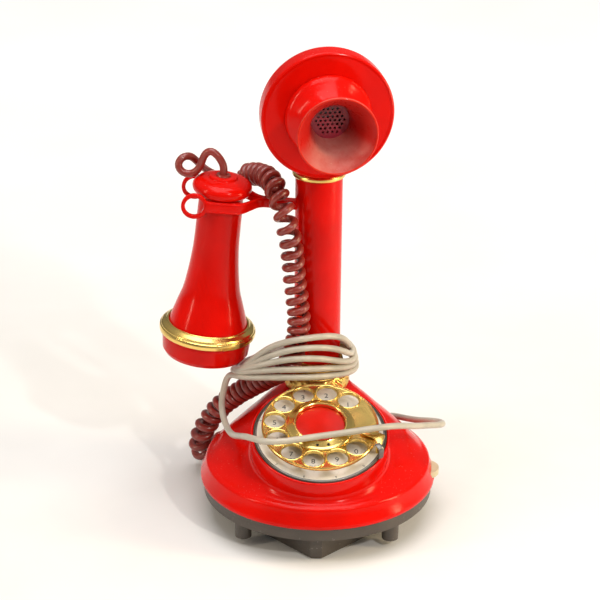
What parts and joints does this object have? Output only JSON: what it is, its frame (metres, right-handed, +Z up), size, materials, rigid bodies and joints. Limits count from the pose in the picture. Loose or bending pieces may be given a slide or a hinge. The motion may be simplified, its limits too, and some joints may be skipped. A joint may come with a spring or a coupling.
{
  "type": "candlestick rotary telephone",
  "caption": "Upright desk telephone with a bell-shaped dial base, a slim stem, a tilting transmitter head and a receiver hung on a side fork, with coiled and wrapped cords.",
  "frame": {"origin": "on the table, under the middle of the round base, on the ballast pan's lower face", "axes": "+Z up along the stem, -Y towards the user (the dial's side), +X to the user's right; the receiver hangs on -X"},
  "size_m": [0.1904, 0.2306, 0.3195],
  "materials": {
    "red_gloss": "glossy moulded red",
    "red_paint": "gloss red enamel",
    "gold": "polished and lacquered",
    "brass": "machined",
    "black": "fine satin grain",
    "ballast": "rough cast",
    "steel": "zinc plated",
    "cream": "printed cream plate",
    "maroon_vinyl": "satin vinyl",
    "grey_vinyl": "satin vinyl",
    "phenolic": "brown phenolic",
    "board": "green board",
    "coil_tape": "varnished winding",
    "ivory": "satin",
    "clear": "clear moulding",
    "grille": "dark red perforated plate",
    "card": "red card under a clear cover"
  },
  "bodies": {
    "base": {"base_shell": "red_gloss", "base_plate": "black", "weight_pan": "black", "ballast_slab": "ballast", "screw_bosses": "black", "base_screws": "steel", "handset_gland": "maroon_vinyl", "line_gland": "grey_vinyl", "stem_foot": "steel", "stem_washer": "steel", "stem_nut": "steel", "stem_collar": "gold", "stem_tube": "red_paint", "stem_top_ring": "gold", "head_bracket": "red_paint", "hook_pin": "steel", "hook_switch": "phenolic", "dial_cup": "steel", "number_plate": "cream", "dial_bezel": "black", "finger_stop": "gold", "dial_bush": "brass", "ringer_frame": "steel", "ringer_coils": "coil_tape", "gongs": "brass", "gong_posts": "steel", "network_board": "board", "circuit_parts": "phenolic", "terminal_block": "ivory", "handset_coil": "maroon_vinyl", "handset_tail": "maroon_vinyl", "line_wraps": "grey_vinyl", "line_loop": "grey_vinyl", "line_drop": "grey_vinyl", "line_coil": "grey_vinyl", "line_plug": "clear"},
    "dial": {"finger_wheel": "gold", "dial_hub": "gold", "centre_card": "card", "dial_shaft": "steel", "main_gear": "brass", "spring_barrel": "steel"},
    "governor": {"governor": "brass"},
    "clapper": {"clapper": "steel"},
    "volume_wheel": {"volume_wheel": "ivory"},
    "hook": {"hook_lever": "red_paint"},
    "head": {"head_cup": "red_gloss", "head_face": "red_gloss", "mouthpiece_horn": "red_gloss", "mouthpiece_grille": "grille", "transmitter_capsule": "steel", "pivot_screw": "gold", "pivot_nut": "gold"},
    "receiver": {"receiver_shell": "red_gloss", "receiver_cap": "red_gloss", "receiver_bush": "maroon_vinyl", "receiver_ring": "gold", "ear_cap": "red_gloss", "receiver_capsule": "steel", "handset_lead": "maroon_vinyl"}
  },
  "joints": [
    {"name": "dial_spin", "type": "hinge", "parent": "base", "child": "dial", "pos_m": [0, -0.033, 0.0788], "axis": [0, -0.3256, 0.9455], "range_deg": [-345, 0], "stiffness_Nm_per_rad": 0.004, "springref_deg": 34.38},
    {"name": "governor_spin", "type": "hinge", "parent": "base", "child": "governor", "pos_m": [0.021, -0.033, 0.0788], "axis": [0, -0.3256, 0.9455], "range_deg": [-1, 1381]},
    {"name": "receiver_lift", "type": "slide", "parent": "base", "child": "receiver", "axis": [-0.7071, 0, 0.7071], "range_m": [0, 0.08]},
    {"name": "hook_swing", "type": "hinge", "parent": "base", "child": "hook", "pos_m": [0, 0.034, 0.2046], "axis": [0, 1, 0], "range_deg": [0, 3]},
    {"name": "head_tilt", "type": "hinge", "parent": "base", "child": "head", "pos_m": [0, 0.034, 0.2626], "axis": [0.9903, 0.1392, 0], "range_deg": [-20, 8]},
    {"name": "clapper_swing", "type": "hinge", "parent": "base", "child": "clapper", "pos_m": [0, 0.0225, 0.027], "axis": [0, 0, 1], "range_deg": [-3, 3]},
    {"name": "volume_turn", "type": "hinge", "parent": "base", "child": "volume_wheel", "pos_m": [0.0698, -0.004, 0.0309], "axis": [0, 0, 1], "range_deg": [-60, 60]}
  ],
  "couplings": [
    {"joint": "governor_spin", "follows": "dial_spin", "ratio": -4},
    {"joint": "hook_swing", "follows": "receiver_lift", "rad_per_m": 0.6544}
  ]
}
